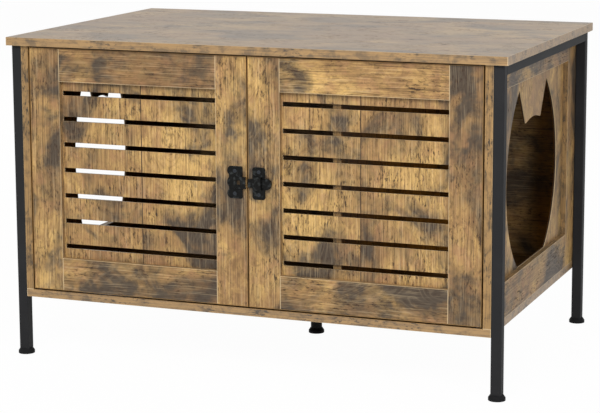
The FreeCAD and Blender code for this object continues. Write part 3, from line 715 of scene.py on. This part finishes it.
def screw_head(x, z, face, radius, height, slot):
    """A pan head on a door: the dome's height falls with the square of the distance from the axis, and a
    cross slot with sloped walls is cut where either coordinate is under the slot's half width."""
    a, b = disc(radius)
    spread = np.hypot(a, b) / radius
    dome = height * (1 - DOME_FALL * spread ** 2)
    narrow = np.minimum(np.abs(a), np.abs(b))
    reach = np.clip((SLOT_REACH - spread) / SLOT_END, 0, 1)
    cut = np.clip((slot * 1.3 - narrow) / (slot * 0.5), 0, 1) * reach
    top = np.stack([x + a, face - dome + cut * height * SLOT_DEPTH, z + b], -1)
    bottom = np.stack([x + a, np.full_like(a, face), z + b], -1)
    return top, bottom


class CABINET_OT_screws(bpy.types.Operator):
    """Turns the slide bolt's screws with pan heads and cross slots"""

    bl_idname = "cabinet.screws"
    bl_label = "Screws"

    def execute(self, context):
        look = context.scene.cabinet_latch
        # the pan heads' pale blue-grey is a painted highlight: they are lighter than the iron round them
        black = coat_finish("black_screw", tone(48, 51, 55), 2500, 0.34)
        for node, plate, body in (
            ("latch_screws", "latch_plate", "right_door"),
            ("keeper_screws", "keeper_plate", "left_door"),
        ):
            low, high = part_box(node)
            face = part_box(plate)[0].y
            radius = (high.x - low.x) / 2
            x = (low.x + high.x) / 2
            heads = [
                screw_head(x, z, face, radius, face - low.y, look.screw_slots)
                for z in (low.z + radius, high.z - radius)
            ]
            add_piece(f"{node}_heads", joined_sheets(node, heads), black, body, node)
        return {"FINISHED"}


# a frame bolt's head in metres, and as shares of it: half the socket's width across its flats, the run of
# the socket's wall, the socket's depth, and the cone's radius at its foot
BOLT_HEAD_RADIUS = 0.006
BOLT_HEAD_DEPTH = 0.003
SOCKET_HALF = 0.52
SOCKET_WALL = 0.06
SOCKET_DEPTH = 0.8
CONE_FOOT = 0.55


def bolt_head(side, face, y, z):
    """A countersunk head: flat on top with a hexagonal socket, whose wall stands where the distance to the
    nearest flat is the socket's half width, and a cone below that draws in with depth."""
    a, b = disc(BOLT_HEAD_RADIUS)
    angle = np.arctan2(b, a)
    turn = (angle + math.pi / 6) % (math.pi / 3) - math.pi / 6
    flat = np.hypot(a, b) * np.cos(turn)
    socket = np.clip((BOLT_HEAD_RADIUS * SOCKET_HALF - flat) / (BOLT_HEAD_RADIUS * SOCKET_WALL), 0, 1)
    foot = np.full_like(a, face + side * BOLT_HEAD_DEPTH)
    top = np.stack([face + side * socket * BOLT_HEAD_DEPTH * SOCKET_DEPTH, y - a * side, z + b], -1)
    bottom = np.stack([foot, y - a * side * CONE_FOOT, z + b * CONE_FOOT], -1)
    return top, bottom


class CABINET_OT_frame_bolts(bpy.types.Operator):
    """Gives the bolts inside the side panels their hexagonal sockets"""

    bl_idname = "cabinet.frame_bolts"
    bl_label = "Frame bolts"

    def execute(self, context):
        black = coat_finish("black_bolt", tone(44, 44, 46), 2500, 0.35)
        for side, name in ((-1, "left"), (1, "right")):
            node = f"{name}_frame_bolts"
            low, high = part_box(node)
            face = high.x if side < 0 else low.x
            heads = [
                bolt_head(side, face, y, z)
                for y in (low.y + BOLT_HEAD_RADIUS, high.y - BOLT_HEAD_RADIUS)
                for z in (low.z + BOLT_HEAD_RADIUS, high.z - BOLT_HEAD_RADIUS)
            ]
            mesh = joined_sheets(f"{name}_bolt_heads", heads)
            add_piece(f"{name}_bolt_heads", mesh, black, "cabinet", node)
        return {"FINISHED"}


# ---- the stage ----
# each light's place and the side of its square, and the point that they look at
LIGHTS = {
    "key": ((0.3, -3.6, 3.2), 2.0),
    "side": ((2.9, -3.0, 2.1), 1.2),
    "back": ((-2.6, 3.4, 2.0), 1.6),
}
LIT_POINT = Vector((0, 0, 0.35))

# how much of the floor that the eye sees is the backdrop's white
FLOOR_WHITE = 0.975

# the camera's place in metres, its turn, dip and roll in radians, and the picture's shifts
CAMERA_PLACE = (1.4283779, -3.6998818, 1.0314595)
CAMERA_TURN = -0.3628
CAMERA_DIP = 0.1615
CAMERA_ROLL = -0.0027
CAMERA_SHIFT = (-0.0333, -0.0942)


class CABINET_OT_stage(bpy.types.Operator):
    """Sets the floor, the light and the camera"""

    bl_idname = "cabinet.stage"
    bl_label = "Floor, light and camera"

    def execute(self, context):
        look = context.scene.cabinet_stage
        lay_floor(look)
        set_daylight(context.scene, look)
        for name, (position, side) in LIGHTS.items():
            area_light(name, position, side, getattr(look, name))
        set_camera(context.scene, look)
        context.scene.view_settings.view_transform = "Standard"
        return {"FINISHED"}


def lay_floor(look):
    """A flat square floor. To the eye it is mostly the backdrop's white, and the rest takes the shadows."""
    reach = look.floor_reach
    corners = [(-reach, -reach, 0), (reach, -reach, 0), (reach, reach, 0), (-reach, reach, 0)]
    mesh = bpy.data.meshes.new("floor")
    mesh.from_pydata(corners, [], [(0, 1, 2, 3)])
    finish = Finish(bpy.data.materials.new("floor"))
    white_share = seen_rays(finish) * FLOOR_WHITE
    plain = finish.node("ShaderNodeBsdfDiffuse", inputs={"Color": (*look.floor, 1)})
    white = finish.node("ShaderNodeEmission", inputs={"Color": (1, 1, 1, 1), "Strength": 1.0})
    mixed = finish.node("ShaderNodeMixShader", inputs={0: white_share, 1: plain, 2: white})
    finish.node("ShaderNodeOutputMaterial", inputs={"Surface": mixed})
    mesh.materials.append(finish.block)
    floor = bpy.data.objects.new("floor", mesh)
    bpy.context.scene.collection.objects.link(floor)


def seen_rays(finish):
    """1 for rays from the camera, from a mirror-like surface or through glass, else 0."""
    camera, glossy, through = finish.node(
        "ShaderNodeLightPath", output=("Is Camera Ray", "Is Glossy Ray", "Is Transmission Ray")
    )
    return camera.most(glossy).most(through)


def set_daylight(scene, look):
    """An even white world: full white to the eye, and the daylight's strength on the object."""
    world = bpy.data.worlds.new("daylight")
    scene.world = world
    sky = Finish(world)
    seen = seen_rays(sky)
    strength = seen * (1 - look.daylight) + look.daylight
    light = sky.node("ShaderNodeBackground", inputs={"Color": (1, 1, 1, 1), "Strength": strength})
    sky.node("ShaderNodeOutputWorld", inputs={"Surface": light})


def area_light(name, position, side, power):
    """A square soft light that looks at the middle of the cabinet and isn't mirrored in it."""
    data = bpy.data.lights.new(name, "AREA")
    data.shape = "SQUARE"
    data.size = side
    data.energy = power
    light = bpy.data.objects.new(name, data)
    light.location = position
    aim = LIT_POINT - Vector(position)
    light.rotation_euler = aim.to_track_quat("-Z", "Y").to_euler()
    light.visible_glossy = False
    bpy.context.scene.collection.objects.link(light)


def set_camera(scene, look):
    """The photograph's view, from the right of the middle and above: turned 20.8 degrees, dipped 9.3."""
    ahead = Vector((math.sin(CAMERA_TURN), math.cos(CAMERA_TURN), 0))
    forward = ahead * math.cos(CAMERA_DIP) - Vector((0, 0, math.sin(CAMERA_DIP)))
    right = Vector((math.cos(CAMERA_TURN), -math.sin(CAMERA_TURN), 0))
    up = right.cross(forward)
    level = right * math.cos(CAMERA_ROLL) + up * math.sin(CAMERA_ROLL)
    upright = up * math.cos(CAMERA_ROLL) - right * math.sin(CAMERA_ROLL)
    data = bpy.data.cameras.new("camera")
    data.sensor_fit = "HORIZONTAL"
    data.sensor_width = 36
    data.lens = look.lens
    data.shift_x, data.shift_y = CAMERA_SHIFT
    data.clip_end = 200
    camera = bpy.data.objects.new("camera", data)
    turned = Matrix((level, upright, -forward)).transposed().to_4x4()
    camera.matrix_world = Matrix.Translation(CAMERA_PLACE) @ turned
    scene.collection.objects.link(camera)
    scene.camera = camera


# ---- the sidebar ----
OPERATORS = (
    CABINET_OT_boards,
    CABINET_OT_frames,
    CABINET_OT_pivots,
    CABINET_OT_slide_bolt,
    CABINET_OT_screws,
    CABINET_OT_frame_bolts,
    CABINET_OT_stage,
)

SETTINGS = {
    "cabinet_boards": BoardSettings,
    "cabinet_steel": SteelSettings,
    "cabinet_latch": LatchSettings,
    "cabinet_stage": StageSettings,
}


class CABINET_PT_sidebar(bpy.types.Panel):
    """Lists the cabinet's finishes and pieces"""

    bl_idname = "CABINET_PT_sidebar"
    bl_label = "Cabinet"
    bl_space_type = "VIEW_3D"
    bl_region_type = "UI"
    bl_category = "Cabinet"

    def draw(self, context):
        for name in SETTINGS:
            settings = getattr(context.scene, name)
            box = self.layout.box()
            for setting in settings.__annotations__:
                box.prop(settings, setting)
        for operator in OPERATORS:
            self.layout.operator(operator.bl_idname)


def register():
    for settings in SETTINGS.values():
        bpy.utils.register_class(settings)
    for name, settings in SETTINGS.items():
        setattr(bpy.types.Scene, name, PointerProperty(type=settings))
    for operator in OPERATORS:
        bpy.utils.register_class(operator)
    bpy.utils.register_class(CABINET_PT_sidebar)


def unregister():
    bpy.utils.unregister_class(CABINET_PT_sidebar)
    for operator in reversed(OPERATORS):
        bpy.utils.unregister_class(operator)
    for name, settings in SETTINGS.items():
        delattr(bpy.types.Scene, name)
        bpy.utils.unregister_class(settings)


def main():
    register()
    bpy.ops.cabinet.boards()
    bpy.ops.cabinet.frames()
    bpy.ops.cabinet.pivots()
    bpy.ops.cabinet.slide_bolt()
    bpy.ops.cabinet.screws()
    bpy.ops.cabinet.frame_bolts()
    bpy.ops.cabinet.stage()


if __name__ == "__main__":
    main()
